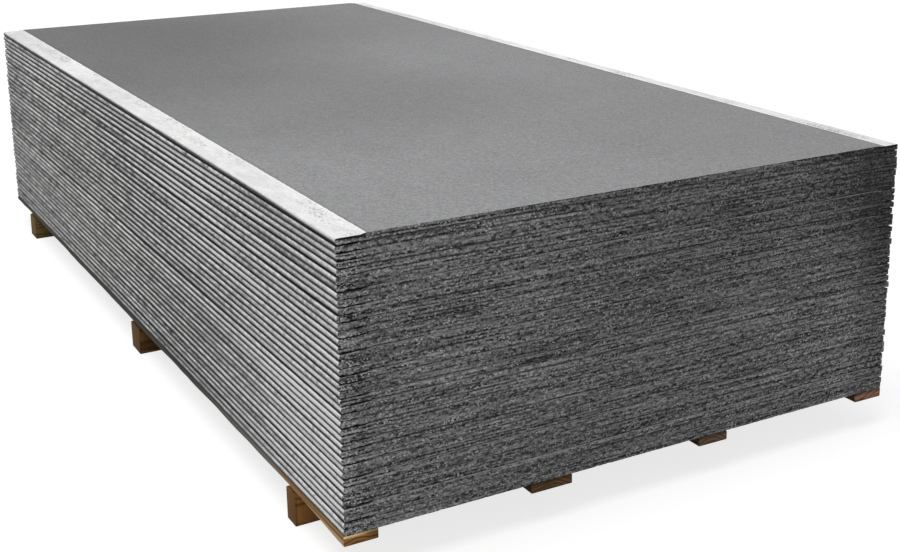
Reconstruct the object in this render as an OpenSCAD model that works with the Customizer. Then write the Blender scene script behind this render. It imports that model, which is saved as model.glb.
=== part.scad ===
// Skid load of cement boards: flat sheets with lowered, round-nosed long edges,
// laid one on another over lengthwise slats and three cross bearers.
//
// Origin: on the floor, under the centre of the load.
// X runs along the boards, Y across them and Z up. The two ends at +X and -X are
// sawn square; the two sides at +Y and -Y are the wrapped, tapered long edges.

/* [Board] */
// Length of a board, between its sawn ends
board_l = 2438.4; // [1800:0.1:3050]
// Width of a board, over its wrapped long edges
board_w = 1219.2; // [900:0.1:1250]
// Thickness of a board between its tapered edges
board_t = 12.7; // [10:0.1:16]

/* [Tapered edge] */
// Width of the lowered strip along each long edge
taper_w = 54; // [20:1:120]
// Width of the slope that brings the strip back up to the face
ramp_w = 12; // [4:1:14]
// How far the strip lies below the face
taper_drop = 1.8; // [0:0.1:3]
// Rounding of the nose, above and below
nose_r = 2.6; // [1:0.1:5]

/* [Stack] */
// Number of boards
board_count = 40; // [2:1:50]
// Space that grit and uneven faces leave between two boards
grit_gap = 0.3; // [0:0.05:1]
// Furthest that a board lies out of line, lengthwise
drift_x = 1.5; // [0:0.1:4]
// Furthest that a board lies out of line, crosswise
drift_y = 1.2; // [0:0.1:4]

/* [Slats] */
// Thickness of the slats that carry the boards
slat_t = 19; // [12:0.5:40]
// Widths of the slats, in order from -Y to +Y
slat_w = [65, 88, 68, 70]; // [50:1:110]
// Distance of the inner slat on the -Y side from the centre line
inner_slat_left = 198; // [120:1:280]
// Distance of the inner slat on the +Y side from the centre line
inner_slat_right = 170; // [120:1:280]

/* [Bearers] */
// Height of the bearers, which is the height left for lifting forks
bearer_h = 64; // [50:1:120]
// Widths of the bearers, in order from +X to -X
bearer_w = [42, 66, 66]; // [38:1:100]
// Distance of the first bearer's centre from the boards' +X end
bearer_from_front = 232; // [60:1:400]
// Distance of the last bearer's centre from the boards' -X end
bearer_from_back = 192; // [60:1:400]
// How far the middle bearer's centre lies from the origin, towards +X
middle_bearer_x = 31; // [-150:1:150]

/* [Hidden] */
// Straight pieces in each quarter of a nose, and in each slope
NOSE_STEPS = 6;
TAPER_STEPS = 6;
// Seeds of the lengthwise and crosswise drift
SEED_X = 11;
SEED_Y = 29;

BOARD_COLOUR = "#8b8d8f";
SLAT_COLOUR = "#b98c55";
BEARER_COLOUR = "#7a5a38";

// Thickness of a board at its long edges
edge_t = board_t - taper_drop;
// The nose can't be rounder than half the edge it is on
nose = min(nose_r, edge_t / 2);
board_pitch = board_t + grit_gap;
slat_z = bearer_h;
stack_z = bearer_h + slat_t;

// Values spread over -1 to 1 that reach both limits, so the load stays centred
function spread(raw) =
    let (low = min(raw), high = max(raw))
    [for (value = raw) (2 * value - low - high) / (high - low)];

drift_along = spread(rands(-1, 1, board_count, SEED_X));
drift_across = spread(rands(-1, 1, board_count, SEED_Y));

slat_y = [
    (slat_w[0] - board_w) / 2,
    -inner_slat_left,
    inner_slat_right,
    (board_w - slat_w[3]) / 2
];
bearer_x = [
    board_l / 2 - bearer_from_front,
    middle_bearer_x,
    bearer_from_back - board_l / 2
];

function board_name(i) = str("board_", i < 9 ? "0" : "", i + 1);
BOARDS = [for (i = [0 : board_count - 1]) board_name(i)];
SLATS = ["slat_outer_left", "slat_inner_left", "slat_inner_right", "slat_outer_right"];
BEARERS = ["bearer_front", "bearer_middle", "bearer_back"];

// Points of a nose from angle a to angle b, about a centre at height z
function nose_arc(z, a, b) = [
    for (i = [0 : NOSE_STEPS])
        let (angle = a + (b - a) * i / NOSE_STEPS)
        [board_w / 2 - nose + nose * cos(angle), z + nose * sin(angle)]
];

// Points of the slope on the inner side of the lowered strip. It leaves the strip
// and meets the face without a corner.
function taper_rise() = [
    for (i = [0 : TAPER_STEPS])
        let (part = i / TAPER_STEPS)
        [
            board_w / 2 - taper_w + ramp_w * (1 - part),
            edge_t + taper_drop * (1 - cos(180 * part)) / 2
        ]
];

// One half of a board's section, from its underside round the nose to its face
function half_section() = concat(
    nose_arc(nose, -90, 0),
    nose_arc(edge_t - nose, 0, 90),
    taper_rise()
);

module board_section() {
    half = half_section();
    last = len(half) - 1;
    polygon(concat(half, [for (i = [0 : last]) [-half[last - i].x, half[last - i].y]]));
}

// Stands a section drawn across the load up in the Y-Z plane and runs it along X
module run_along_x(length) {
    rotate([90, 0, 90])
        linear_extrude(height = length, center = true)
            children();
}

module board(i) {
    color(BOARD_COLOUR)
        translate([drift_x * drift_along[i], drift_y * drift_across[i], stack_z + i * board_pitch])
            run_along_x(board_l) board_section();
}

module slat(i) {
    color(SLAT_COLOUR)
        translate([-board_l / 2, slat_y[i] - slat_w[i] / 2, slat_z])
            cube([board_l, slat_w[i], slat_t]);
}

module bearer(i) {
    color(BEARER_COLOUR)
        translate([bearer_x[i] - bearer_w[i] / 2, -board_w / 2, 0])
            cube([bearer_w[i], board_w, bearer_h]);
}

for (i = [0 : board_count - 1])
    board(i);

for (i = [0 : len(SLATS) - 1])
    slat(i);

for (i = [0 : len(BEARERS) - 1])
    bearer(i);
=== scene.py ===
"""Finishes a skid load of cement boards: rough-sawn ends, cloth-wrapped long edges and worn timber."""

import math

import bmesh
import bpy
from bpy.props import FloatProperty, FloatVectorProperty, IntProperty, PointerProperty
from mathutils import Matrix, Vector, noise


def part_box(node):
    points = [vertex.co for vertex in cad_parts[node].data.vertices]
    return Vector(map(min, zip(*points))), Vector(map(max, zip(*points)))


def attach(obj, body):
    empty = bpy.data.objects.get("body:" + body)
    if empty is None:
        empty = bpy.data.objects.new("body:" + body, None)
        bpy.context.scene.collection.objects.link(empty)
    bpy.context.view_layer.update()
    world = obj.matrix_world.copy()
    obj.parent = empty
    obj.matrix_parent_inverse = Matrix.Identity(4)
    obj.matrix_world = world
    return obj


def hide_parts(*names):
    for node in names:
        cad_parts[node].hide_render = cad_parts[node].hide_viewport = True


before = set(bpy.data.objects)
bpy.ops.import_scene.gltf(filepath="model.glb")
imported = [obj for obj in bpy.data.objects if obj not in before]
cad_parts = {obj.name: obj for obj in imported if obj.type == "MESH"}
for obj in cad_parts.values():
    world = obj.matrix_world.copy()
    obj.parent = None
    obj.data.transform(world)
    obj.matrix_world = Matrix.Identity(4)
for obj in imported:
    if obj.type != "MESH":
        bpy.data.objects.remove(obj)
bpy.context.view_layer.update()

bl_info = {
    "name": "Cement board load",
    "version": (1, 0, 0),
    "blender": (4, 5, 0),
    "location": "3D View > Sidebar > Board Load",
    "description": "Builds a stack of cement boards on slats and bearers, with their finishes and a studio",
    "category": "Object",
}

BOARDS = sorted(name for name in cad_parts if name.startswith("board_"))
SLATS = sorted(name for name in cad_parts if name.startswith("slat_"))
BEARERS = sorted(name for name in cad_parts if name.startswith("bearer_"))

BOARD_LOW, BOARD_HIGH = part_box(BOARDS[-1])
BOARD_SIZE = BOARD_HIGH - BOARD_LOW
STACK_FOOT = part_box(BOARDS[0])[0].z
STACK_TOP = BOARD_HIGH.z
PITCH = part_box(BOARDS[1])[0].z - STACK_FOOT
SLAT_FOOT, SLAT_TOP = (corner.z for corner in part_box(SLATS[0]))
SLAT_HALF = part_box(SLATS[0])[1].x
BEARER_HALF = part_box(BEARERS[0])[1].y

# The order of a board's material slots
SKIN_SLOT, CORE_SLOT = 0, 1
# Angles between faces, in degrees, past which an edge is drawn sharp
BOARD_CREASE, TIMBER_CREASE = 38, 40
# Width of the waned edge of a slat, how far from its +X end it gets there, and which slat has it
WANE_WIDTH, WANE_REACH, WANED_SLAT = 0.010, 0.22, "slat_outer_left"
# Distance between two cuts along a timber, and how far its ends are out of square
CUT_GAP, END_TILT = 0.03, 0.0015
# How far the heart of its log lies to one side of a slat, for each place in the row, and how high
SLAT_HEART_STEP, SLAT_HEART_Z = 0.012, -0.10
# The same for a bearer: beside the first one, what each further place takes off, and how high
BEARER_HEART_SIDE, BEARER_HEART_STEP, BEARER_HEART_Z = 0.02, 0.03, 0.02
# Where the seeds of the slats and of the bearers start
SLAT_SEED, BEARER_SEED = 50, 70
# Straight pieces in each quarter of a nose
NOSE_STEPS = 5
# Rows of cells up a sawn end
END_ROWS = 4
# Vertex attributes that the materials read: how open the joint at the outline of a sawn end is, how
# deep a pit is, and how far a point lies behind its board's nose, in metres
RIM, PIT, TUCK = "rim", "pit", "tuck"
# Vertex layers that only shape an end: height up its column from 0 to 1, and the column's height
SHARE, COLUMN = "share", "column"
# All of them, in the order that they are added
LAYERS = (RIM, PIT, TUCK, SHARE, COLUMN)


# ---------------------------------------------------------------- sizes and colours


class BoardFinish(bpy.types.PropertyGroup):
    """Section, wear and colours of the boards."""

    taper_width: FloatProperty(
        name="Strip width", description="Width of the lowered strip along each long edge",
        default=0.054, min=0.02, max=0.12, unit="LENGTH")
    ramp_width: FloatProperty(
        name="Slope width", description="Width of the slope that brings the strip back up to the face",
        default=0.012, min=0.004, max=0.014, unit="LENGTH")
    taper_drop: FloatProperty(
        name="Strip drop", description="How far the strip lies below the face",
        default=0.0018, min=0.0, max=0.003, unit="LENGTH")
    nose_radius: FloatProperty(
        name="Nose radius", description="Rounding of the nose, above and below",
        default=0.0026, min=0.001, max=0.005, unit="LENGTH")
    cell: FloatProperty(
        name="End cell", description="Width of the cells that a sawn end is roughened with",
        default=0.0026, min=0.001, max=0.02, unit="LENGTH")
    margin: FloatProperty(
        name="End margin", description="Strip behind a sawn end that takes up its broken edge",
        default=0.008, min=0.002, max=0.03, unit="LENGTH")
    nose_fade: FloatProperty(
        name="Nose strip", description="Strip behind a nose over which its waviness dies out",
        default=0.010, min=0.002, max=0.03, unit="LENGTH")
    wave_cuts: IntProperty(
        name="Wave cuts", description="Cuts along half the length of a nose",
        default=30, min=4, max=80)
    band_left: FloatProperty(
        name="Left band", description="Width of the pale wrap on the face, on the -Y side",
        default=0.057, min=0.01, max=0.12, unit="LENGTH")
    band_right: FloatProperty(
        name="Right band", description="Width of the pale wrap on the face, on the +Y side",
        default=0.036, min=0.01, max=0.12, unit="LENGTH")
    saw_depth: FloatProperty(
        name="Saw roughness", description="Depth of the roughness of a sawn end",
        default=0.0009, min=0.0, max=0.003, unit="LENGTH")
    pit_depth: FloatProperty(
        name="Pit depth", description="Depth of the deepest pits in a sawn end",
        default=0.0016, min=0.0, max=0.004, unit="LENGTH")
    chip_depth: FloatProperty(
        name="Chip depth", description="Depth of the chips along the edges of a sawn end",
        default=0.0013, min=0.0, max=0.004, unit="LENGTH")
    nose_sway: FloatProperty(
        name="Nose sway", description="Furthest that a nose wanders in from its straight line",
        default=0.0011, min=0.0, max=0.003, unit="LENGTH")
    nose_lift: FloatProperty(
        name="Nose lift", description="Furthest that a nose curls up or down",
        default=0.0007, min=0.0, max=0.001, unit="LENGTH")
    face_colour: FloatVectorProperty(
        name="Face", description="Colour of the cast cement face",
        default=(0.300, 0.302, 0.307), size=3, subtype="COLOR", min=0.0, max=1.0)
    wrap_colour: FloatVectorProperty(
        name="Wrap", description="Colour of the mesh cloth wrapped round the long edges",
        default=(0.87, 0.87, 0.865), size=3, subtype="COLOR", min=0.0, max=1.0)
    core_colour: FloatVectorProperty(
        name="Core", description="Middle colour of the sawn core",
        default=(0.175, 0.176, 0.178), size=3, subtype="COLOR", min=0.0, max=1.0)


class TimberFinish(bpy.types.PropertyGroup):
    """Wear and grain of the slats and bearers."""

    ease: FloatProperty(
        name="Eased edge", description="Width of the worn edges of the timber",
        default=0.0016, min=0.0003, max=0.006, unit="LENGTH")
    wane: FloatProperty(
        name="Wane", description="How far the edges of the timber wander",
        default=0.0012, min=0.0, max=0.004, unit="LENGTH")
    ring_gap: FloatProperty(
        name="Ring gap", description="Distance between two growth rings",
        default=0.0045, min=0.001, max=0.02, unit="LENGTH")


class StudioSetting(bpy.types.PropertyGroup):
    """The camera and the light."""

    camera_place: FloatVectorProperty(
        name="Camera", description="Where the camera stands",
        default=(3.1285, -1.4557, 1.2552), size=3, subtype="TRANSLATION", unit="LENGTH")
    camera_aim: FloatVectorProperty(
        name="Aim", description="The point that the camera looks at",
        default=(0.0977, 0.2169, 0.3760), size=3, subtype="TRANSLATION", unit="LENGTH")
    camera_roll: FloatProperty(
        name="Roll", description="Turn of the camera about its line of sight",
        default=math.radians(-0.545), subtype="ANGLE", unit="ROTATION")
    lens: FloatProperty(
        name="Lens", description="Focal length in millimetres on a 36 mm sensor",
        default=55.66, min=10.0, max=200.0)
    shift_y: FloatProperty(
        name="Shift", description="Upward shift of the sensor, as a share of its width",
        default=-0.1289, min=-0.5, max=0.5)
    sky: FloatProperty(
        name="Sky", description="Strength of the light from all round",
        default=0.36, min=0.0, max=2.0)
    sun: FloatProperty(
        name="Sun", description="Strength of the soft lamp overhead",
        default=2.15, min=0.0, max=10.0)
    floor_colour: FloatVectorProperty(
        name="Floor", description="Colour that the floor throws back on to the load",
        default=(0.5, 0.5, 0.5), size=3, subtype="COLOR", min=0.0, max=1.0)


# Broad darker patches of the cast faces, the wrapped sides and the sawn ends: the middle, how far the
# patch reaches, and how much it darkens there
FACE_PATCHES = (
    ((0.79, 0.80, 0.60), 1.37, 0.14),
    ((-1.35, 0.79, 0.60), 1.60, 0.22),
    ((0.18, -0.27, 0.60), 0.71, 0.20),
    ((-0.82, -0.61, 0.60), 1.18, 0.42),
)
SIDE_PATCHES = (
    ((0.58, -0.61, 0.00), 0.63, 0.56),
    ((-0.17, -0.61, 0.23), 0.86, 0.48),
    ((-0.13, -0.61, 0.00), 0.35, 0.30),
    ((0.99, -0.61, 0.75), 0.50, 0.47),
    ((-1.29, -0.61, 0.00), 1.14, 0.54),
)
END_PATCHES = (
    ((1.22, 0.16, 0.75), 0.60, 0.33),
    ((1.22, 0.01, 0.02), 0.51, 0.20),
    ((1.22, 0.66, 0.54), 0.34, 0.58),
)
# Share of a patch's reach over which it stays at its darkest
PATCH_CORE = 0.3
# Height of the lumps in the sawn core, from their tops painted pale to their undersides painted dark,
# as painted light and shade, in metres
PAINTED_RELIEF = 0.0040
# How far below the top of the load these lie, in metres, from below to above: the foot of the painted
# shadow line on the top board's sides, where its clean wrap fades out, and the foot of the line on its ends
SIDE_SHADOW_FOOT = (0.0128, 0.0114)
WRAP_FADE = (0.0092, 0.0046)
END_LINE_FOOT = (0.0066, 0.0054)
# Width of the bright hem along the inner line of the clean wrap
HEM_WIDTH = 0.0050

# Colours of the light aggregate, of yard grime, of the -Y slat's side and of the soil on that slat
BEAD_COLOUR = (0.66, 0.66, 0.655)
GRIME_COLOUR = (0.045, 0.034, 0.022)
SIDE_COLOUR = (0.19, 0.145, 0.080)
SOIL_COLOUR = (0.034, 0.034, 0.032)
WHITE = (1.0, 1.0, 1.0, 1.0)

# Each length of timber: its pale early wood, its dark late wood, how grimy it is and how much wider
# its rings are than the usual ones. Some also have: the places along X where soil starts and is
# full, the colour of pale planed edges, how light the painted shade leaves them where the load covers
# them, or how much lighter their sides are painted than their sawn ends, as painted light.
TIMBER = {
    "slat_outer_left": {"pale": (0.34, 0.170, 0.050), "dark": (0.125, 0.044, 0.014), "grime": 0.30,
                        "rings": 1.7, "soil": (0.99, 0.90), "cream": (0.95, 0.66, 0.37)},
    "slat_inner_left": {"pale": (0.140, 0.072, 0.030), "dark": (0.050, 0.026, 0.012), "grime": 0.50,
                        "rings": 2.0, "load_shade": 0.30},
    "slat_inner_right": {"pale": (0.17, 0.105, 0.062), "dark": (0.075, 0.045, 0.026), "grime": 0.45,
                         "rings": 2.0, "load_shade": 0.30},
    "slat_outer_right": {"pale": (0.33, 0.180, 0.108), "dark": (0.17, 0.078, 0.044), "grime": 0.15,
                         "rings": 2.0, "load_shade": 0.25},
    "bearer_front": {"pale": (0.170, 0.080, 0.024), "dark": (0.080, 0.034, 0.010), "grime": 0.2,
                     "rings": 1.5, "sides": 1.8},
    "bearer_middle": {"pale": (0.125, 0.064, 0.018), "dark": (0.060, 0.029, 0.008), "grime": 0.15,
                      "rings": 1.5, "sides": 1.3},
    "bearer_back": {"pale": (0.165, 0.105, 0.036), "dark": (0.080, 0.048, 0.016), "grime": 0.2,
                    "rings": 1.5, "sides": 1.3},
}


# ---------------------------------------------------------------- shader nodes


class Bench:
    """Places nodes in the node tree of a material or a group, and joins them."""

    # How many nodes stand in a row of the editor, and how far apart the nodes and the rows are
    COLUMNS, STEP_X, STEP_Y = 9, 210, 320

    def __init__(self, tree):
        self.tree = tree
        tree.nodes.clear()

    def add(self, kind, inputs=None, **settings):
        """A node with these settings. An input is fed by a socket or set to a plain value."""
        node = self.tree.nodes.new(kind)
        count = len(self.tree.nodes) - 1
        node.location = (count % self.COLUMNS * self.STEP_X, -(count // self.COLUMNS) * self.STEP_Y)
        for name, value in settings.items():
            setattr(node, name, value)
        for key, value in (inputs or {}).items():
            if isinstance(value, bpy.types.NodeSocket):
                self.tree.links.new(value, node.inputs[key])
            else:
                node.inputs[key].default_value = value
        return node

    def maths(self, operation, *values, clamp=False):
        inputs = dict(enumerate(values))
        return self.add("ShaderNodeMath", inputs, operation=operation, use_clamp=clamp).outputs[0]

    def product(self, first, *others):
        """The values, multiplied one after another."""
        for other in others:
            first = self.maths("MULTIPLY", first, other)
        return first

    def fit(self, value, scale, base):
        """The value times a scale, added to a base."""
        return self.maths("MULTIPLY_ADD", value, scale, base)

    def centred(self, noise):
        """Noise that goes from 0 to 1, moved to lie about 0."""
        return self.maths("SUBTRACT", noise, 0.5)

    def vary(self, base, noise, amount):
        """The base, raised and lowered by noise that goes from 0 to 1."""
        return self.fit(self.centred(noise), amount, base)

    def rest(self, share):
        """What a share leaves of 1."""
        return self.maths("SUBTRACT", 1.0, share)

    def mix(self, share, first, second):
        """Mixes two values by a share."""
        return self.add("ShaderNodeMix", {0: share, 2: first, 3: second}).outputs[0]

    def span(self, value, low, high, to_low=0.0, to_high=1.0):
        """Eases from to_low to to_high as the value goes from low to high, and stays level outside them."""
        inputs = {0: value, 1: low, 2: high, 3: to_low, 4: to_high}
        return self.add("ShaderNodeMapRange", inputs, interpolation_type="SMOOTHSTEP").outputs[0]

    def blend(self, share, first, second):
        """Mixes two colours by a share."""
        return self.add("ShaderNodeMix", {0: share, 6: first, 7: second}, data_type="RGBA").outputs[2]

    def shaded(self, colour, value):
        """A colour, multiplied by a value."""
        return self.add("ShaderNodeVectorMath", {0: colour, "Scale": value}, operation="SCALE").outputs[0]

    def clouds(self, vector, scale, detail=2.0, roughness=0.5, stretch=None, flat=False):
        """Soft noise from 0 to 1. The scale is in repeats a metre, and flat noise reads only X and Y."""
        if stretch:
            vector = self.add("ShaderNodeMapping", {"Vector": vector, "Scale": stretch}).outputs[0]
        inputs = {"Vector": vector, "Scale": scale, "Detail": detail, "Roughness": roughness}
        return self.add("ShaderNodeTexNoise", inputs, noise_dimensions="2D" if flat else "3D").outputs[0]

    def grains(self, vector, scale, flat=False):
        """A Voronoi texture. The scale is in cells a metre, and flat cells read only X and Y."""
        inputs = {"Vector": vector, "Scale": scale}
        return self.add("ShaderNodeTexVoronoi", inputs, voronoi_dimensions="2D" if flat else "3D")

    def bump(self, height, distance, strength):
        inputs = {"Height": height, "Distance": distance, "Strength": strength}
        return self.add("ShaderNodeBump", inputs).outputs[0]

    def place(self):
        """Where a point lies in the piece's own frame, in metres."""
        return self.add("ShaderNodeTexCoord").outputs["Object"]

    def split(self, vector):
        return self.add("ShaderNodeSeparateXYZ", {0: vector}).outputs

    def join(self, x, y, z):
        return self.add("ShaderNodeCombineXYZ", {0: x, 1: y, 2: z}).outputs[0]

    def group(self, group, inputs):
        return self.add("ShaderNodeGroup", inputs, node_tree=group).outputs


def new_group(name, inputs, outputs):
    """An empty node group. Returns it, its bench, the sockets it is given and those it puts out."""
    tree = bpy.data.node_groups.new(name, "ShaderNodeTree")
    for socket, (kind, default) in inputs.items():
        made = tree.interface.new_socket(name=socket, in_out="INPUT", socket_type=kind)
        if default is not None:
            made.default_value = default
    for socket, kind in outputs.items():
        tree.interface.new_socket(name=socket, in_out="OUTPUT", socket_type=kind)
    bench = Bench(tree)
    given = bench.add("NodeGroupInput").outputs
    result = bench.add("NodeGroupOutput").inputs
    return tree, bench, given, result


def finish_group(bench, result, values):
    """Puts these values out of a group."""
    for name, socket in values.items():
        bench.tree.links.new(socket, result[name])


VECTOR, FLOAT = "NodeSocketVector", "NodeSocketFloat"


def board_place_group():
    """Which board of the stack a point is on: its number, and its height in that board from 0 to 1."""
    inputs = {"Vector": (VECTOR, None)}
    tree, bench, given, result = new_group("board place", inputs, {"Number": FLOAT, "Height": FLOAT})
    z = bench.split(given["Vector"])[2]
    # A hair is added, so that an underside counts as part of its own board
    above = bench.maths("SUBTRACT", z, STACK_FOOT - 0.0001)
    boards = bench.maths("DIVIDE", above, PITCH)
    values = {"Number": bench.maths("FLOOR", boards), "Height": bench.maths("FRACT", boards)}
    finish_group(bench, result, values)
    return tree


def board_tone_group():
    """How light one board is beside the others, and how that drifts along it, about 0."""
    inputs = {"Vector": (VECTOR, None), "Number": (FLOAT, 0.0), "Run": (FLOAT, 2.0)}
    tree, bench, given, result = new_group("board tone", inputs, {"Tone": FLOAT})
    x, y, _ = bench.split(given["Vector"])
    lone = bench.add("ShaderNodeTexWhiteNoise", {"W": given["Number"]}, noise_dimensions="1D").outputs[0]
    # Each board reads the noise at a depth of its own
    depth = bench.product(given["Number"], 7.31)
    where = bench.join(bench.product(x, given["Run"]), bench.product(y, given["Run"]), depth)
    drift = bench.clouds(where, 1.0, detail=3.0)
    finish_group(bench, result, {"Tone": bench.vary(bench.centred(lone), drift, 1.6)})
    return tree


def scrim_group():
    """Threads of an open mesh: 1 on a thread and 0 in an opening. Y and Z run on round a nose as one line."""
    inputs = {"Vector": (VECTOR, None), "Pitch": (FLOAT, 0.0025)}
    tree, bench, given, result = new_group("scrim", inputs, {"Thread": FLOAT})
    x, y, z = bench.split(given["Vector"])
    wander = bench.clouds(given["Vector"], 22.0, detail=1.0)
    wander = bench.product(bench.centred(wander), 0.004)
    round_y = bench.maths("SUBTRACT", bench.maths("ADD", bench.maths("ABSOLUTE", y), wander), z)
    along_x = bench.maths("ADD", x, wander)
    turns = bench.maths("DIVIDE", 2 * math.pi, given["Pitch"])
    warp = bench.maths("SINE", bench.product(along_x, turns))
    weft = bench.maths("SINE", bench.product(round_y, turns))
    thread = bench.maths("MAXIMUM", warp, weft)
    finish_group(bench, result, {"Thread": bench.span(thread, 0.1, 0.95)})
    return tree


def grit_group():
    """Sand and light aggregate in cement: a shade for each grain about 0, and the pits between them, which
    the materials darken as painted shade.

    The vector's X and Y run over the surface.
    """
    inputs = {"Vector": (VECTOR, None), "Grain": (FLOAT, 0.0022)}
    tree, bench, given, result = new_group("grit", inputs, {"Shade": FLOAT, "Pit": FLOAT, "Height": FLOAT})
    scale = bench.maths("DIVIDE", 1.0, given["Grain"])
    fine = bench.grains(given["Vector"], bench.product(scale, 1.9), flat=True)
    coarse = bench.grains(given["Vector"], bench.product(scale, 0.8), flat=True)
    fine_shade = bench.split(fine.outputs["Color"])[0]
    coarse_shade = bench.split(coarse.outputs["Color"])[1]
    shade = bench.centred(bench.mix(0.5, fine_shade, coarse_shade))
    hollow = bench.clouds(given["Vector"], bench.product(scale, 0.62), detail=2.5, roughness=0.6, flat=True)
    pit = bench.span(hollow, 0.40, 0.29)
    height = bench.maths("SUBTRACT", bench.product(fine.outputs["Distance"], -0.6), pit)
    finish_group(bench, result, {"Shade": shade, "Pit": pit, "Height": height})
    return tree


def timber_group():
    """Sawn softwood with its grain along X: the rings, the fine fibre, the knots and the saw marks."""
    inputs = {"Vector": (VECTOR, None), "Heart": (VECTOR, (0.0, 0.05, -0.08)), "Ring gap": (FLOAT, 0.0045),
              "Seed": (FLOAT, 0.0)}
    outputs = {"Late wood": FLOAT, "Fibre": FLOAT, "Knot": FLOAT, "Saw": FLOAT}
    tree, bench, given, result = new_group("sawn timber", inputs, outputs)
    seed = bench.join(given["Seed"], given["Seed"], given["Seed"])
    own = bench.add("ShaderNodeVectorMath", {0: given["Vector"], 1: seed}).outputs[0]
    bend = bench.clouds(own, 1.0, detail=2.0, stretch=(1.4, 9.0, 9.0))
    away = bench.add("ShaderNodeVectorMath", {0: given["Vector"], 1: given["Heart"]}, operation="SUBTRACT")
    _, off_y, off_z = bench.split(away.outputs[0])
    radius = bench.maths("SQRT", bench.fit(off_y, off_y, bench.product(off_z, off_z)))
    knot_cells = bench.add("ShaderNodeMapping", {"Vector": own, "Scale": (2.2, 9.0, 9.0)}).outputs[0]
    knot_gap = bench.grains(knot_cells, 1.0).outputs["Distance"]
    knot = bench.span(knot_gap, 0.17, 0.10)
    rings = bench.fit(bench.span(knot_gap, 0.45, 0.10), 0.012, bench.vary(radius, bend, 0.035))
    turn = bench.maths("FRACT", bench.maths("DIVIDE", rings, given["Ring gap"]))
    late = bench.product(bench.span(turn, 0.35, 0.85), bench.span(turn, 1.0, 0.9))
    fibre = bench.clouds(own, 1.0, detail=4.0, roughness=0.65, stretch=(12.0, 620.0, 620.0))
    saw = bench.clouds(own, 1.0, detail=1.0, stretch=(330.0, 14.0, 14.0))
    finish_group(bench, result, {"Late wood": late, "Fibre": fibre, "Knot": knot, "Saw": saw})
    return tree


def grime_group():
    """Dirt picked up in the yard: broad smudges over fine streaks, from 0 to 1."""
    inputs = {"Vector": (VECTOR, None), "Size": (FLOAT, 0.12), "Amount": (FLOAT, 0.5)}
    tree, bench, given, result = new_group("yard grime", inputs, {"Grime": FLOAT})
    scale = bench.maths("DIVIDE", 1.0, given["Size"])
    broad = bench.clouds(given["Vector"], scale, detail=4.0, roughness=0.62)
    fine = bench.clouds(given["Vector"], bench.product(scale, 9.0), detail=3.0, roughness=0.7)
    both = bench.mix(0.25, broad, fine)
    start = bench.fit(given["Amount"], -0.30, 0.68)
    share = bench.maths("MULTIPLY", bench.maths("SUBTRACT", both, start), 5.0, clamp=True)
    finish_group(bench, result, {"Grime": share})
    return tree


GROUPS = {}


def shared_groups():
    """The node groups, each built once."""
    if not GROUPS:
        GROUPS["place"] = board_place_group()
        GROUPS["tone"] = board_tone_group()
        GROUPS["scrim"] = scrim_group()
        GROUPS["grit"] = grit_group()
        GROUPS["timber"] = timber_group()
        GROUPS["grime"] = grime_group()
    return GROUPS


# ---------------------------------------------------------------- materials


def new_material(name):
    """An empty material and its bench."""
    material = bpy.data.materials.new(name)
    material.use_nodes = True
    return material, Bench(material.node_tree)


def surface(bench, colour, roughness, normal, specular):
    """Ends a material in one matt shader."""
    inputs = {"Base Color": colour, "Roughness": roughness, "Normal": normal}
    shader = bench.add("ShaderNodeBsdfPrincipled", inputs)
    shader.inputs["Specular IOR Level"].default_value = specular
    bench.add("ShaderNodeOutputMaterial", {"Surface": shader.outputs[0]})


def solid(colour):
    """The colour, fully opaque."""
    return (*colour, 1.0)


def dark_patches(bench, place, patches):
    """What broad darker patches leave of the light."""
    light = 1.0
    for middle, reach, depth in patches:
        away = bench.add("ShaderNodeVectorMath", {0: place, 1: middle}, operation="DISTANCE").outputs["Value"]
        light = bench.product(light, bench.span(away, PATCH_CORE * reach, reach, 1.0 - depth, 1.0))
    return light


def under_top(bench, height, depths, to_low, to_high):
    """Eases from one value to the other between two depths below the top of the load."""
    return bench.span(height, STACK_TOP - depths[0], STACK_TOP - depths[1], to_low, to_high)


def face_light(bench, place, thread, sand, pit):
    """How light the cast face is: fine grain, clouds, roller marks, painted shade in the pits and broad
    darker patches.
    """
    cloud = bench.clouds(place, 6.0, detail=5.0, roughness=0.6)
    roller = bench.clouds(place, 1.0, detail=2.0, stretch=(2.5, 60.0, 1.0))
    light = bench.vary(1.0, sand, 1.5)
    light = bench.vary(light, cloud, 0.16)
    light = bench.vary(light, roller, 0.08)
    light = bench.fit(thread, -0.03, light)
    # Painted shade: the pits are darkened
    light = bench.fit(pit, -0.14, light)
    return bench.product(light, dark_patches(bench, place, FACE_PATCHES))


def band_light(bench, place, thread, behind):
    """How light the clean wrap on top is: cement shows through it in specks, up to its bright inner hem."""
    patch = bench.clouds(place, 1.0, detail=3.0, roughness=0.6, stretch=(4.5, 14.0, 1.0))
    away = bench.span(bench.split(place)[0], 1.18, 1.10, 0.30, 1.0)
    inner = bench.span(behind, -0.045, -0.018, 0.10, 1.0)
    patch = bench.product(bench.span(patch, 0.50, 0.64), away, inner)
    speck = bench.span(bench.clouds(place, 190.0, detail=3.0, roughness=0.7), 0.44, 0.62)
    hem = bench.span(behind, -HEM_WIDTH, -0.5 * HEM_WIDTH)
    bleed = bench.product(speck, bench.fit(patch, 0.55, 0.09), bench.rest(hem))
    mottle = bench.clouds(place, 1.0, detail=3.0, roughness=0.6, stretch=(26.0, 70.0, 1.0))
    broad = bench.clouds(place, 1.0, detail=1.0, stretch=(2.6, 2.6, 1.0))
    weave = bench.vary(bench.fit(thread, 0.05, 0.92), mottle, 0.50)
    weave = bench.fit(hem, 0.09, bench.vary(weave, broad, 0.45))
    return bench.product(bench.maths("MINIMUM", weave, 1.07), bench.rest(bleed))


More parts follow.
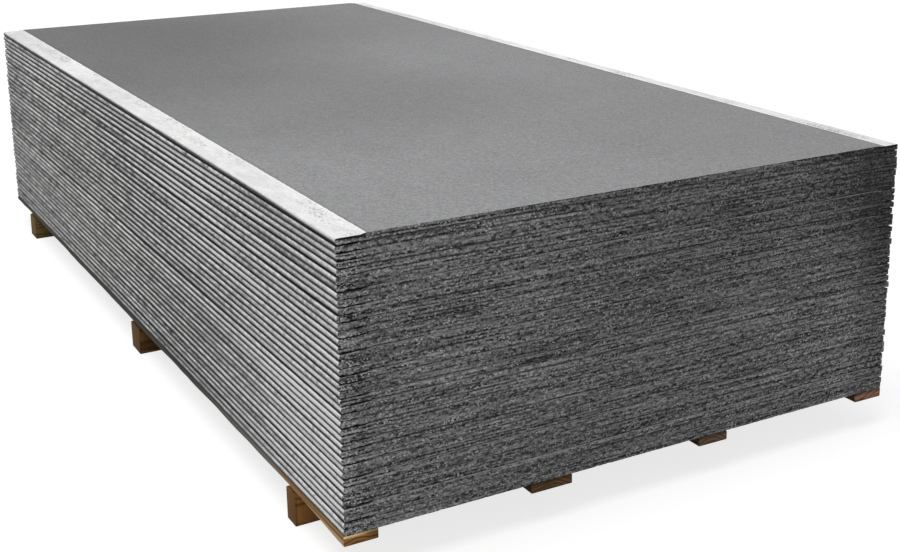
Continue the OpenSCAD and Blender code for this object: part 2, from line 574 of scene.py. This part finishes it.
def nose_light(bench, groups, place, level, thread, tuck):
    """How light the stacked noses are: painted light above and painted shade below, under yard dirt that
    differs by board.
    """
    tone = bench.group(groups["tone"], {"Vector": place, "Number": level["Number"], "Run": 3.2})["Tone"]
    smudge = bench.group(groups["grime"], {"Vector": place, "Size": 0.24, "Amount": 0.55})["Grime"]
    x, _, z = bench.split(place)
    light = bench.fit(tone, 0.60, bench.fit(smudge, -0.26, 1.12))
    light = bench.maths("ADD", light, bench.span(tone, 0.34, 0.62, 0.0, 0.16))

    # Dirt lies in longer and stronger smears away from the +X end
    smear = bench.join(bench.maths("EXPONENT", bench.product(x, 0.5)), z, 0.0)
    glint = bench.clouds(smear, 1.0, detail=2.0, roughness=0.7, stretch=(66.0, 105.0, 1.0), flat=True)
    mottle = bench.clouds(smear, 1.0, detail=1.0, stretch=(20.0, 42.0, 1.0), flat=True)
    light = bench.vary(light, glint, bench.span(x, 0.95, 0.30, 1.8, 2.4))
    light = bench.vary(light, mottle, bench.span(x, 0.95, 0.30, 0.4, 0.7))
    light = bench.product(light, bench.fit(thread, 0.30, 0.80), dark_patches(bench, place, SIDE_PATCHES))

    # Painted light and shade: each nose is darkened below and in the groove under it and lightened above,
    # most strongly a little to +X of the middle, and less towards -X and towards the bottom
    depth = bench.span(tuck, 0.0005, 0.0028, 1.0, 0.03)
    nose_shade = bench.product(depth, bench.span(level["Height"], 0.16, 0.72, 0.02, 1.25))
    aside = bench.maths("ABSOLUTE", bench.maths("SUBTRACT", x, 0.28))
    nose_shade = bench.maths("POWER", nose_shade, bench.span(aside, 0.60, 0.15, 1.0, 1.5))
    shade_fade = bench.span(bench.fit(z, 1.1, x), -0.10, -1.00, 0.0, 0.60)
    light = bench.product(light, bench.mix(shade_fade, nose_shade, 0.62))
    return bench.maths("MINIMUM", bench.maths("MAXIMUM", light, 0.02), 0.98)


def cloth_light(bench, groups, place, level, thread, tuck, behind):
    """How light the wrap is, clean on top of the load and dirtied below, with painted light and shade."""
    x, _, z = bench.split(place)
    clean = band_light(bench, place, thread, behind)
    soiled_and_shaded = nose_light(bench, groups, place, level, thread, tuck)
    # The top board's clean wrap turns down over its side, furthest at the +X end, above a painted shadow line
    raised = bench.maths("SUBTRACT", z, bench.span(x, 1.15, 0.85, 0.0, 0.0024))
    soiled_and_shaded = bench.product(soiled_and_shaded, under_top(bench, raised, SIDE_SHADOW_FOOT, 1.0, 0.42))
    return bench.mix(under_top(bench, raised, WRAP_FADE, 0.0, 1.0), soiled_and_shaded, clean)


def skin_material(finish):
    """Cement face and pale cloth wrap of the boards."""
    groups = shared_groups()
    material, bench = new_material("board skin")
    place = bench.place()
    x, y, _ = bench.split(place)
    tuck = bench.add("ShaderNodeAttribute", attribute_name=TUCK).outputs["Fac"]
    level = bench.group(groups["place"], {"Vector": place})
    thread = bench.group(groups["scrim"], {"Vector": place})["Thread"]
    pit = bench.group(groups["grit"], {"Vector": place, "Grain": 0.0020})["Pit"]
    sand = bench.clouds(place, 210.0, detail=3.0, roughness=0.7)

    # The wrap covers both long edges, a little askew, with a slightly frayed inner line
    fray = bench.clouds(place, 90.0, detail=3.0)
    band = bench.fit(x, -0.0012, bench.span(y, -0.1, 0.1, finish.band_left, finish.band_right))
    behind = bench.maths("SUBTRACT", bench.vary(tuck, fray, 0.004), band)
    wrap = bench.span(behind, 0.0005, -0.0005)

    # Painted shade: the face is a little darker beside the wrap
    light = face_light(bench, place, thread, sand, pit)
    light = bench.product(light, bench.span(behind, 0.010, 0.003, 1.0, 0.86))
    face = bench.shaded(tuple(finish.face_colour), light)
    light = cloth_light(bench, groups, place, level, thread, tuck, behind)
    cloth = bench.shaded(tuple(finish.wrap_colour), light)
    roughness = bench.mix(wrap, bench.vary(0.86, sand, 0.20), bench.fit(thread, -0.10, 0.80))
    height = bench.fit(thread, 0.00022, bench.product(wrap, 0.00025))
    height = bench.fit(pit, -0.00025, bench.vary(height, sand, 0.00045))
    surface(bench, bench.blend(wrap, face, cloth), roughness, bench.bump(height, 1.0, 0.8), 0.25)
    return material


def core_light(bench, place, flat, level, tone, grit):
    """How light the sawn core is, and the noise that its mesh lines wander by.

    The light changes with the grit, the streaks of the pour, painted light and shade on its lumps, the two
    layers of mesh and a slow haze.
    """
    pour = bench.clouds(flat, 1.0, detail=1.0, stretch=(4.5, 200.0, 1.0), flat=True)
    light = bench.vary(bench.fit(grit["Shade"], 1.4, 1.055), pour, 2.7)

    # Painted light and shade: lumps are painted pale above and dark below, as if lit from above
    across, up, _ = bench.split(flat)
    lifted = bench.join(across, bench.maths("ADD", up, PAINTED_RELIEF), 0.0)
    low, high = (bench.clouds(spot, 1.0, detail=2.0, roughness=0.62, stretch=(78.0, 118.0, 1.0), flat=True)
                 for spot in (flat, lifted))
    light = bench.fit(bench.maths("SUBTRACT", low, high), 2.8, light)
    light = bench.vary(light, bench.clouds(place, 4.0, detail=1.0), 0.30)
    light = bench.fit(tone, 0.30, light)

    # The mesh under each face leaves a pale line, so every board has two
    wobble = bench.clouds(flat, 1.0, detail=2.0, stretch=(14.0, 40.0, 1.0), flat=True)
    turn = bench.fit(level["Height"], 4 * math.pi, -1.04 * math.pi)
    lines = bench.maths("COSINE", bench.vary(turn, wobble, 1.8))
    show = bench.clouds(flat, 1.0, detail=1.0, stretch=(5.0, 50.0, 1.0), flat=True)
    light = bench.fit(lines, bench.span(show, 0.36, 0.60, 0.0, 0.40), light)
    return light, wobble


def core_beads(bench, flat, y, gap_shade, rim_line):
    """Where pale beads of light aggregate show, in loose rows, and thread ends at the -Y edge."""
    squat = bench.add("ShaderNodeMapping", {"Vector": flat, "Scale": (1.0, 1.25, 1.0)}).outputs[0]
    beads = bench.grains(squat, 215.0, flat=True)
    frayed = bench.span(y, -0.556, -0.604, 0.0, 0.26)
    pick = bench.span(bench.maths("ADD", bench.split(beads.outputs["Color"])[2], frayed), 0.42, 0.98)
    row = bench.clouds(flat, 1.0, detail=2.0, stretch=(18.0, 95.0, 1.0), flat=True)
    row = bench.maths("ADD", bench.span(row, 0.38, 0.62, 0.30, 1.0), frayed)
    bead = bench.product(bench.span(beads.outputs["Distance"], 0.50, 0.20), pick)
    bead = bench.maths("MULTIPLY", bead, row, clamp=True)
    return bench.product(bead, bench.rest(bench.maths("MAXIMUM", gap_shade, rim_line)))


def core_material(finish):
    """Sawn core of the boards: light aggregate and sand in cement."""
    groups = shared_groups()
    material, bench = new_material("sawn core")
    place = bench.place()
    x, y, z = bench.split(place)
    level = bench.group(groups["place"], {"Vector": place})
    tone = bench.group(groups["tone"], {"Vector": place, "Number": level["Number"], "Run": 3.0})["Tone"]
    flat = bench.join(bench.fit(x, 3.0, y), z, 0.0)
    grit = bench.group(groups["grit"], {"Vector": flat, "Grain": 0.0032})
    rim, pit = (bench.add("ShaderNodeAttribute", attribute_name=name).outputs["Fac"] for name in (RIM, PIT))
    light, wobble = core_light(bench, place, flat, level, tone, grit)

    # The +Y corner is dark, as far in as the lowered strip reaches, and the -Y corner is pale
    patched = bench.product(dark_patches(bench, place, END_PATCHES), bench.span(y, 0.517, 0.530, 1.0, 0.75))
    light = bench.product(light, patched, bench.span(y, -0.568, -0.606, 1.0, 1.22))

    # A dark line runs under the rim of the top board's lowered strips
    rim_line = under_top(bench, bench.vary(z, wobble, 0.0050), END_LINE_FOOT, 0.0, 0.93)
    rim_line = bench.product(rim_line, bench.span(bench.maths("ABSOLUTE", y), 0.552, 0.562))

    # Painted shade: the pits are darkened, and so is the outline where a joint stands open
    gap_shade = bench.span(rim, 0.40, 0.95, 0.0, 0.68)
    dark = bench.product(bench.fit(grit["Pit"], -0.45, 1.0), bench.span(pit, 0.25, 1.0, 1.0, 0.40))
    light = bench.product(light, bench.rest(rim_line), dark, bench.rest(gap_shade))
    core = bench.shaded(tuple(finish.core_colour), bench.maths("MAXIMUM", light, 0.08))
    colour = bench.blend(core_beads(bench, flat, y, gap_shade, rim_line), core, bench.shaded(BEAD_COLOUR, patched))
    roughness = bench.fit(grit["Shade"], 0.12, 0.90)
    surface(bench, colour, roughness, bench.bump(grit["Height"], 0.0010, 1.0), 0.2)
    return material


def planed_edges(bench, colour, cream, wood, along, across, up):
    """A slat with a brown -Y side whose lower edge is pale, and a +X end whose upper edge is pale."""
    on_side = bench.span(along, SLAT_HALF - 0.0016, SLAT_HALF - 0.0032)
    # A height on the side is turned over, so that its lower edge is read as the end's upper one
    flipped = bench.maths("SUBTRACT", SLAT_FOOT + SLAT_TOP + 0.0055, up)
    ragged = bench.vary(bench.mix(on_side, up, flipped), wood["Fibre"], 0.006)
    most = bench.mix(on_side, bench.span(across, -0.590, -0.560, 0.90, 0.35), 0.50)
    colour = bench.blend(bench.product(on_side, 0.45), colour, solid(SIDE_COLOUR))
    pale_edge = bench.span(ragged, SLAT_TOP - 0.0058, SLAT_TOP - 0.0028, 0.0, most)
    colour = bench.blend(pale_edge, colour, solid(cream))
    shaded_end = bench.span(across, -0.575, -0.548, 1.0, 0.62)
    return bench.shaded(colour, bench.maths("MAXIMUM", shaded_end, on_side))


def soiled_timber(bench, colour, reach, patchy, along):
    """Soil on a timber: a pale grey where it starts, and darker further back."""
    start, stop = reach
    ragged = bench.fit(patchy, 0.10, along)
    soil = bench.span(ragged, start + 0.05, stop + 0.05, 0.0, 0.95)
    dirt = bench.shaded(SOIL_COLOUR, bench.span(ragged, start, stop - 0.50, 3.9, 1.0))
    return bench.blend(soil, colour, dirt)


def timber_material(name, colours, ring_gap, seed, heart, turned):
    """Sawn softwood. Its grain runs along X, or along Y where the piece is turned."""
    groups = shared_groups()
    material, bench = new_material(name.replace("_", " ") + " timber")
    place = bench.place()
    if turned:
        x, y, z = bench.split(place)
        place = bench.join(y, x, z)
    along, across, up = bench.split(place)
    gap = ring_gap * colours["rings"]
    wood = bench.group(groups["timber"], {"Vector": place, "Heart": heart, "Ring gap": gap, "Seed": seed})
    grime = bench.group(groups["grime"], {"Vector": place, "Size": 0.09, "Amount": colours["grime"]})["Grime"]
    patchy = bench.clouds(place, 6.0, detail=3.0)
    late = bench.vary(bench.vary(wood["Late wood"], patchy, 0.8), wood["Fibre"], 0.9)
    late = bench.maths("MULTIPLY", late, 1.0, clamp=True)
    colour = bench.blend(late, solid(colours["pale"]), solid(colours["dark"]))
    colour = bench.blend(wood["Knot"], colour, solid(0.35 * part for part in colours["dark"]))
    colour = bench.blend(bench.product(grime, 0.6), colour, solid(GRIME_COLOUR))
    if "cream" in colours:
        colour = planed_edges(bench, colour, colours["cream"], wood, along, across, up)
    if "load_shade" in colours:
        # Painted shade: the timber under the load is darkened, and so is the top of a slat just under the
        # boards
        out = bench.maths("ABSOLUTE", along)
        open_end = bench.span(out, SLAT_HALF - 0.0037, SLAT_HALF - 0.0017, colours["load_shade"], 1.0)
        shade = bench.span(up, SLAT_TOP - 0.0015, SLAT_TOP - 0.0075, 0.45, 1.0)
        colour = bench.shaded(colour, bench.product(open_end, shade))
    if "sides" in colours:
        # Painted light: the sides are painted lighter than the sawn ends
        out = bench.maths("ABSOLUTE", along)
        sides = bench.span(out, BEARER_HALF - 0.0056, BEARER_HALF - 0.0031, colours["sides"], 1.0)
        colour = bench.shaded(colour, sides)
    if "soil" in colours:
        colour = soiled_timber(bench, colour, colours["soil"], patchy, along)
    colour = bench.shaded(colour, bench.vary(1.0, wood["Saw"], 0.25))
    roughness = bench.fit(wood["Fibre"], 0.25, 0.62)
    height = bench.fit(wood["Fibre"], 0.0006, bench.product(wood["Saw"], 0.0005))
    height = bench.fit(wood["Late wood"], 0.0002, height)
    surface(bench, colour, roughness, bench.bump(height, 1.0, 0.8), 0.12)
    return material


# ---------------------------------------------------------------- boards

# How open the joints are on a sawn end, before they wander: every third one, and the rest
OPEN_JOINT, SHUT_JOINT = 0.72, 0.30
# The same along the top board's upper edge: at its -Y corner, on the rest, and the Y that parts them
OPEN_CORNER, SHUT_EDGE, CORNER_Y = 1.0, 0.6, -0.55
# Largest share of an edge's height that is broken off, and of a slot that a torn edge sticks out into
CHIP_SHARE, BURR_SHARE = 0.28, 0.47
# Narrowest slot that torn edges stick out into
LEAST_SLOT = 0.0006
# How far torn edges stand out on the whole, on the +Y side and on the -Y side
BURR_RIGHT, BURR_LEFT = 0.95, 0.50
# Ripples that wear is made of: the strength of each, the length it repeats over and its seed's offset
JOINT_WAVES = ((0.7, 0.30, 0.5), (0.5, 0.06, 0.8), (0.4, 0.018, 0.2))
CRUMB_WAVES = ((1.0, 0.007, 0.1), (0.5, 0.021, 0.2))
BURR_WAVES = ((1.5, 0.009, 0.9), (1.3, 0.024, 0.7))
SAW_WAVES = ((0.9, 0.0042, 0.0), (0.8, 0.013, 0.2), (0.8, 0.16, 0.4))
SWAY_WAVES = ((0.45, 0.55, 0.0), (0.35, 0.17, 0.5))
CURL_WAVES = ((1.1, 0.42, 0.7), (0.6, 0.13, 0.9))
TIMBER_WAVES = ((0.8, 0.11, 0.0), (0.3, 0.03, 0.5))


def held(value, low=0.0, high=1.0):
    """The value, held between two limits."""
    return min(max(value, low), high)


def ripple(point, length, seed):
    """Smooth noise about 0 that repeats over roughly this length. The seed picks a pattern of its own."""
    return noise.noise(point / length + Vector((0.0, 0.0, 17.3 * seed)))


def waves(point, ripples, seed=0.0, mean=0.0):
    """The mean with several ripples added to it."""
    for strength, length, offset in ripples:
        mean += strength * ripple(point, length, seed + offset)
    return mean


def section_stations(size, finish):
    """Y, underside and face of a board's section at each column of cells, from one nose to the other."""
    half, nose = size.y / 2, finish.nose_radius
    edge = size.z - finish.taper_drop
    foot = half - finish.taper_width + finish.ramp_width
    stations = []
    for step in range(NOSE_STEPS):
        turn = math.radians(90 * step / NOSE_STEPS)
        rise = nose * math.sin(turn)
        stations.append((half - nose + nose * math.cos(turn), nose - rise, edge - nose + rise))
    cells = math.ceil((half - nose) / finish.cell)
    for cell in range(cells):
        y = (half - nose) * (1 - cell / cells)
        part = held((foot - y) / finish.ramp_width)
        stations.append((y, 0.0, edge + finish.taper_drop * (1 - math.cos(math.pi * part)) / 2))
    near = [(-y, low, high) for y, low, high in stations]
    return near + [(0.0, 0.0, size.z)] + stations[::-1]


def nose_start(size, finish):
    """How far out from the centre line the noses start to sway."""
    return size.y / 2 - finish.nose_radius - finish.nose_fade


def board_blank(size, finish):
    """A board fresh from the saw, centred on X and Y with its underside at z 0.

    One end is a grid of cells. It is bridged to copies of its outline, first over the margin and
    then on to the middle of the board. The noses are cut crosswise so that they can sway, and the
    half is mirrored.
    """
    stations = section_stations(size, finish)
    columns = len(stations) - 1
    bm = bmesh.new()
    rim, _, tuck, share, column = (bm.verts.layers.float.new(name) for name in LAYERS)
    bmesh.ops.create_grid(bm, x_segments=columns, y_segments=END_ROWS, size=1.0)
    for vert in bm.verts:
        y, low, high = stations[round((vert.co.x + 1) / 2 * columns)]
        vert[share] = (vert.co.y + 1) / 2
        vert[column] = high - low
        vert[tuck] = size.y / 2 - abs(y)
        vert[rim] = 1.0 if vert.is_boundary else 0.0
        vert.co = (size.x / 2, y, low + (high - low) * vert[share])
    for face in bm.faces:
        face.material_index = CORE_SLOT

    # Bridging lists its faces in the same order in every run, which extruding doesn't
    outline = [edge for edge in bm.edges if edge.is_boundary]
    for reach in (finish.margin, size.x / 2 - finish.margin):
        copied = bmesh.ops.duplicate(bm, geom=outline)["geom"]
        corners = [part for part in copied if isinstance(part, bmesh.types.BMVert)]
        bmesh.ops.translate(bm, verts=corners, vec=(-reach, 0.0, 0.0))
        further = [part for part in copied if isinstance(part, bmesh.types.BMEdge)]
        for face in bmesh.ops.bridge_loops(bm, edges=outline + further)["faces"]:
            face.material_index = SKIN_SLOT
        outline = further

    bends = nose_start(size, finish)
    lines = [
        edge for edge in bm.edges
        if edge.calc_length() > 2 * finish.margin and abs(edge.verts[0].co.y) > bends
    ]
    bmesh.ops.subdivide_edges(bm, edges=lines, cuts=finish.wave_cuts, use_grid_fill=False)
    bmesh.ops.mirror(bm, geom=bm.verts[:] + bm.edges[:] + bm.faces[:], axis="X", merge_dist=1e-6)
    bmesh.ops.recalc_face_normals(bm, faces=bm.faces[:])
    return bm


def joint(number, point, end):
    """How open the joint under a board is on a sawn end, from 0 to 1. Every third one stands open."""
    # Each end and each joint reads the noise at a place of its own
    line = Vector((5.0 * end, point.y, 3.7 * number))
    base = OPEN_JOINT if number % 3 == 1 else SHUT_JOINT
    if number > len(BOARDS):
        # The upper edge of the top board, most broken at its -Y corner
        base = OPEN_CORNER if point.y < CORNER_Y else SHUT_EDGE
    return held(base + waves(line, JOINT_WAVES))


def chip(line, opening, finish, seed):
    """How much is broken off an edge of a sawn end: crumbs at an open joint, and a few wider chips."""
    crumb = max(0.0, waves(line, CRUMB_WAVES, seed, 0.5))
    wide = max(0.0, ripple(line, 0.055, seed + 0.3) - 0.35) * 3.0
    return finish.chip_depth * min(opening * crumb + wide, 1.8)


def burr(line, gap, seed):
    """How far a torn edge sticks out into the slot beside it. The blade left more on the +Y side."""
    mean = BURR_RIGHT if line.y > 0 else BURR_LEFT
    return BURR_SHARE * gap * held(waves(line, BURR_WAVES, seed) + mean)


def wear_end(vert, layers, finish, number):
    """Roughens a point of a sawn end. It only moves into the board, or into the wedge between two boards."""
    point = vert.co.copy()
    end = math.copysign(1.0, point.x)
    share, height = vert[layers[SHARE]], vert[layers[COLUMN]]
    opening = [joint(number, point, end), joint(number + 1, point, end)]
    # The lower and the upper edge read the noise at places of their own
    lines = [Vector((3.0 * end * side, point.y, 0.0)) for side in (2, 1)]
    chips = [chip(line, wide, finish, number) for line, wide in zip(lines, opening)]
    below, above = (min(broken, CHIP_SHARE * height) for broken in chips)
    wedge = PITCH - height
    if wedge > LEAST_SLOT and (point.y > 0 or vert[layers[TUCK]] > finish.nose_radius):
        below -= burr(lines[0], wedge, number)
        above -= burr(lines[1], wedge, number)
    if number == 1:
        below = 0.0
    if number == len(BOARDS):
        above = 0.0
    vert.co.z += (1 - share) * below - share * above

    fine, rough, wave = (waves(point, [one], number, 0.5) for one in SAW_WAVES)
    hole = held((ripple(point, 0.0065, number + 0.6) - 0.25) / 0.4)
    cut = finish.saw_depth * (0.5 * fine + 0.3 * rough + 0.2 * wave) + finish.pit_depth * hole
    if vert[layers[RIM]] > 0.5:
        cut += 0.7 * (share * max(above, 0.0) + (1 - share) * max(below, 0.0))
        vert[layers[RIM]] = opening[round(share)] if share in (0.0, 1.0) else 0.6
    vert.co.x -= end * max(cut, 0.0)
    vert[layers[PIT]] = min(0.35 * max(fine, 0.0) + hole, 1.0)


def wear_nose(vert, size, finish, seed, lifts_only):
    """Lets a nose sway and curl along the board, fading out over the strip behind it."""
    point = vert.co.copy()
    share = held((abs(point.y) - nose_start(size, finish)) / finish.nose_fade)
    share = share * share * (3 - 2 * share)
    line = Vector((point.x, math.copysign(4.0, point.y), 0.0))
    sway = held(waves(line, SWAY_WAVES, seed, 0.5))
    curl = held(waves(line, CURL_WAVES, seed), -1.0, 1.0)
    if lifts_only:
        curl = abs(curl)
    vert.co.y -= math.copysign(share * finish.nose_sway * sway, point.y)
    vert.co.z += share * finish.nose_lift * curl


def make_board(node, number, blank, finish, materials):
    """One worn board in the place of its CAD node. The boards are numbered from 1, from below."""
    low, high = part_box(node)
    size = high - low
    bm = blank.copy()
    layers = {name: bm.verts.layers.float[name] for name in LAYERS}
    for vert in bm.verts:
        at_end = abs(vert.co.x) > size.x / 2 - finish.margin / 2
        at_nose = abs(vert.co.y) > nose_start(size, finish)
        if at_nose:
            wear_nose(vert, size, finish, number, number == 1)
        if at_end:
            wear_end(vert, layers, finish, number)
    if number == len(BOARDS):
        # The top board's noses aren't lifted above the load
        for vert in bm.verts:
            vert.co.z = min(vert.co.z, size.z)
    for name in (SHARE, COLUMN):
        bm.verts.layers.float.remove(layers[name])
    middle = Vector(((low.x + high.x) / 2, (low.y + high.y) / 2, low.z))
    bmesh.ops.translate(bm, verts=bm.verts[:], vec=middle)
    return finished_piece(bm, node.replace("board", "cement_board"), node, materials, BOARD_CREASE)


def finished_piece(bm, name, node, materials, crease):
    """Turns a bmesh into a piece that stands for a CAD node, smooth but for its creases."""
    for face in bm.faces:
        face.smooth = True
    mesh = bpy.data.meshes.new(name)
    bm.to_mesh(mesh)
    bm.free()
    mesh.set_sharp_from_angle(angle=math.radians(crease))
    for material in materials:
        mesh.materials.append(material)
    piece = bpy.data.objects.new(name, mesh)
    bpy.context.scene.collection.objects.link(piece)
    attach(piece, "root")
    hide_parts(node)
    return piece


# ---------------------------------------------------------------- timber


def wane_edge(bm, size, width, reach):
    """Rounds off the lower edge on the -Y side, as bark leaves it, and fades that out to the +X end."""
    corner = Vector((0.0, -size.y / 2, -size.z / 2))
    for vert in bm.verts:
        across, up = vert.co.y - corner.y, vert.co.z - corner.z
        if across + up < 0.25 * min(size.y, size.z):
            share = held((size.x / 2 - vert.co.x) / reach)
            wide = width * share * (1.0 + 0.35 * ripple(vert.co, 0.13, 9.1))
            part = across / (across + up)
            vert.co.y = corner.y + max(across, 0.8 * wide * part)
            vert.co.z = corner.z + max(up, wide * (1 - part))


def make_timber(node, finish, material, seed):
    """One length of sawn timber with worn edges, in the place of its CAD node."""
    low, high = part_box(node)
    size, middle = high - low, (low + high) / 2
    run = 0 if size.x > size.y else 1
    bm = bmesh.new()
    bmesh.ops.create_cube(bm, size=1.0, matrix=Matrix.Diagonal((*size, 1.0)))
    lengthwise = [edge for edge in bm.edges if edge.calc_length() > 0.9 * size[run]]
    bmesh.ops.subdivide_edges(bm, edges=lengthwise, cuts=round(size[run] / CUT_GAP), use_grid_fill=False)
    corners = [edge for edge in bm.edges if len(edge.link_faces) == 2 and edge.calc_face_angle() > 1.0]
    bmesh.ops.bevel(bm, geom=corners, offset=finish.ease, offset_type="OFFSET", segments=2, profile=0.5,
                    affect="EDGES", material=-1)
    if node == WANED_SLAT:
        wane_edge(bm, size, WANE_WIDTH, WANE_REACH)
    half = size / 2
    for vert in bm.verts:
        for axis in range(3):
            if axis == run:
                continue
            other = 3 - run - axis
            edge_share = abs(vert.co[other]) / half[other]
            wander = held(waves(vert.co, TIMBER_WAVES, seed + axis, 0.5))
            inward = finish.wane * wander * (0.25 + 0.75 * edge_share ** 6)
            vert.co[axis] -= math.copysign(min(inward, half[axis]), vert.co[axis])
        if abs(vert.co[run]) > half[run] - 2 * finish.ease:
            tilt = END_TILT * (0.5 + 0.8 * ripple(vert.co, 0.05, seed + 3))
            vert.co[run] -= math.copysign(max(tilt, 0.0), vert.co[run])
    bmesh.ops.translate(bm, verts=bm.verts[:], vec=middle)
    bmesh.ops.recalc_face_normals(bm, faces=bm.faces[:])
    return finished_piece(bm, node + "_timber", node, [material], TIMBER_CREASE)


# ---------------------------------------------------------------- studio

# Half the width of the floor, in metres, and its colour and its own light where it is seen directly
FLOOR_REACH, FLOOR_SHADE, FLOOR_GLOW = 60.0, (0.26, 0.26, 0.26), 0.78
# Angle over which the lamp spreads, in degrees, and where it points
LAMP_SPREAD, LAMP_AIM = 35, (-0.10, 0.30, -1.0)


def seen_directly(bench):
    """1 on light paths from the camera, also by way of a glossy or clear surface, and 0 on the rest."""
    paths = bench.add("ShaderNodeLightPath").outputs
    seen = bench.maths("MAXIMUM", paths["Is Camera Ray"], paths["Is Glossy Ray"])
    return bench.maths("MAXIMUM", seen, paths["Is Transmission Ray"])


def make_floor(setting):
    """A wide pale floor. The camera sees it nearly white, with the load's soft shadow."""
    bm = bmesh.new()
    bmesh.ops.create_grid(bm, x_segments=1, y_segments=1, size=FLOOR_REACH)
    mesh = bpy.data.meshes.new("studio_floor")
    bm.to_mesh(mesh)
    bm.free()
    material, bench = new_material("pale floor")
    seen = seen_directly(bench)
    plain = bench.add("ShaderNodeBsdfDiffuse", {"Color": solid(setting.floor_colour)}).outputs[0]
    faint = bench.add("ShaderNodeBsdfDiffuse", {"Color": solid(FLOOR_SHADE)}).outputs[0]
    glow = bench.add("ShaderNodeEmission", {"Color": WHITE, "Strength": FLOOR_GLOW}).outputs[0]
    white = bench.add("ShaderNodeAddShader", {0: faint, 1: glow}).outputs[0]
    mixed = bench.add("ShaderNodeMixShader", {0: seen, 1: plain, 2: white}).outputs[0]
    bench.add("ShaderNodeOutputMaterial", {"Surface": mixed})
    mesh.materials.append(material)
    floor = bpy.data.objects.new("studio_floor", mesh)
    bpy.context.scene.collection.objects.link(floor)


def make_world(setting):
    """An even sky that lights the load at a plain level and shows white."""
    world = bpy.data.worlds.new("studio_sky")
    world.use_nodes = True
    bench = Bench(world.node_tree)
    seen = seen_directly(bench)
    strength = bench.mix(seen, setting.sky, 1.0)
    sky = bench.add("ShaderNodeBackground", {"Color": WHITE, "Strength": strength})
    bench.add("ShaderNodeOutputWorld", {"Surface": sky.outputs[0]})
    bpy.context.scene.world = world


def make_lamp(setting):
    """One soft lamp, high and a little in front of the -Y side."""
    lamp = bpy.data.lights.new("studio_sun", "SUN")
    lamp.energy = setting.sun
    lamp.angle = math.radians(LAMP_SPREAD)
    sun = bpy.data.objects.new("studio_sun", lamp)
    sun.rotation_euler = Vector(LAMP_AIM).to_track_quat("-Z", "Y").to_euler()
    bpy.context.scene.collection.objects.link(sun)


def make_camera(setting):
    """The camera, turned about its line of sight by the set roll."""
    camera = bpy.data.cameras.new("studio_camera")
    camera.sensor_width = 36.0
    camera.lens = setting.lens
    camera.shift_y = setting.shift_y
    camera.clip_end = 200.0
    stand = bpy.data.objects.new("studio_camera", camera)
    place, aim = Vector(setting.camera_place), Vector(setting.camera_aim)
    level = (aim - place).to_track_quat("-Z", "Y").to_matrix()
    turned = level @ Matrix.Rotation(setting.camera_roll, 3, "Z")
    stand.matrix_world = Matrix.Translation(place) @ turned.to_4x4()
    bpy.context.scene.collection.objects.link(stand)
    bpy.context.scene.camera = stand


# ---------------------------------------------------------------- operators


class BOARDLOAD_OT_studio(bpy.types.Operator):
    """Adds the camera, the light, the sky and the floor"""

    bl_idname = "boardload.studio"
    bl_label = "Studio"

    def execute(self, context):
        setting = context.scene.board_load_studio
        make_camera(setting)
        make_world(setting)
        make_lamp(setting)
        make_floor(setting)
        context.scene.view_settings.view_transform = "Standard"
        return {"FINISHED"}


class BOARDLOAD_OT_boards(bpy.types.Operator):
    """Builds the stack of cement boards, each with wear of its own"""

    bl_idname = "boardload.boards"
    bl_label = "Cement boards"

    def execute(self, context):
        finish = context.scene.board_load_boards
        materials = [skin_material(finish), core_material(finish)]
        blank = board_blank(BOARD_SIZE, finish)
        for number, node in enumerate(BOARDS, start=1):
            make_board(node, number, blank, finish, materials)
        blank.free()
        return {"FINISHED"}


class BOARDLOAD_OT_slats(bpy.types.Operator):
    """Builds the slats that run lengthwise under the boards"""

    bl_idname = "boardload.slats"
    bl_label = "Slats"

    def execute(self, context):
        finish = context.scene.board_load_timber
        for number, node in enumerate(SLATS):
            seed = SLAT_SEED + number
            low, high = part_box(node)
            heart = (0.0, (low.y + high.y) / 2 + SLAT_HEART_STEP * (number - 1), SLAT_HEART_Z)
            material = timber_material(node, TIMBER[node], finish.ring_gap, seed, heart, False)
            make_timber(node, finish, material, seed)
        return {"FINISHED"}


class BOARDLOAD_OT_bearers(bpy.types.Operator):
    """Builds the cross bearers that stand on the floor"""

    bl_idname = "boardload.bearers"
    bl_label = "Bearers"

    def execute(self, context):
        finish = context.scene.board_load_timber
        for number, node in enumerate(BEARERS):
            seed = BEARER_SEED + number
            low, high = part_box(node)
            aside = (low.x + high.x) / 2 + BEARER_HEART_SIDE - BEARER_HEART_STEP * number
            heart = (0.0, aside, BEARER_HEART_Z)
            material = timber_material(node, TIMBER[node], finish.ring_gap, seed, heart, True)
            make_timber(node, finish, material, seed)
        return {"FINISHED"}


class BOARDLOAD_PT_panel(bpy.types.Panel):
    """Lists the steps that build the load"""

    bl_idname = "BOARDLOAD_PT_panel"
    bl_label = "Cement board load"
    bl_space_type = "VIEW_3D"
    bl_region_type = "UI"
    bl_category = "Board Load"

    def draw(self, context):
        scene = context.scene
        for settings in (scene.board_load_boards, scene.board_load_timber, scene.board_load_studio):
            box = self.layout.box()
            for name in settings.__annotations__:
                box.prop(settings, name)
        for operator in OPERATORS:
            self.layout.operator(operator.bl_idname)


SETTINGS = {
    "board_load_boards": BoardFinish,
    "board_load_timber": TimberFinish,
    "board_load_studio": StudioSetting,
}
OPERATORS = (BOARDLOAD_OT_studio, BOARDLOAD_OT_boards, BOARDLOAD_OT_slats, BOARDLOAD_OT_bearers)


def register():
    for cls in (*SETTINGS.values(), *OPERATORS, BOARDLOAD_PT_panel):
        bpy.utils.register_class(cls)
    for name, cls in SETTINGS.items():
        setattr(bpy.types.Scene, name, PointerProperty(type=cls))


def unregister():
    for name in SETTINGS:
        delattr(bpy.types.Scene, name)
    for cls in (BOARDLOAD_PT_panel, *reversed(OPERATORS), *reversed(SETTINGS.values())):
        bpy.utils.unregister_class(cls)


def main():
    register()
    bpy.ops.boardload.studio()
    bpy.ops.boardload.boards()
    bpy.ops.boardload.slats()
    bpy.ops.boardload.bearers()


if __name__ == "__main__":
    main()
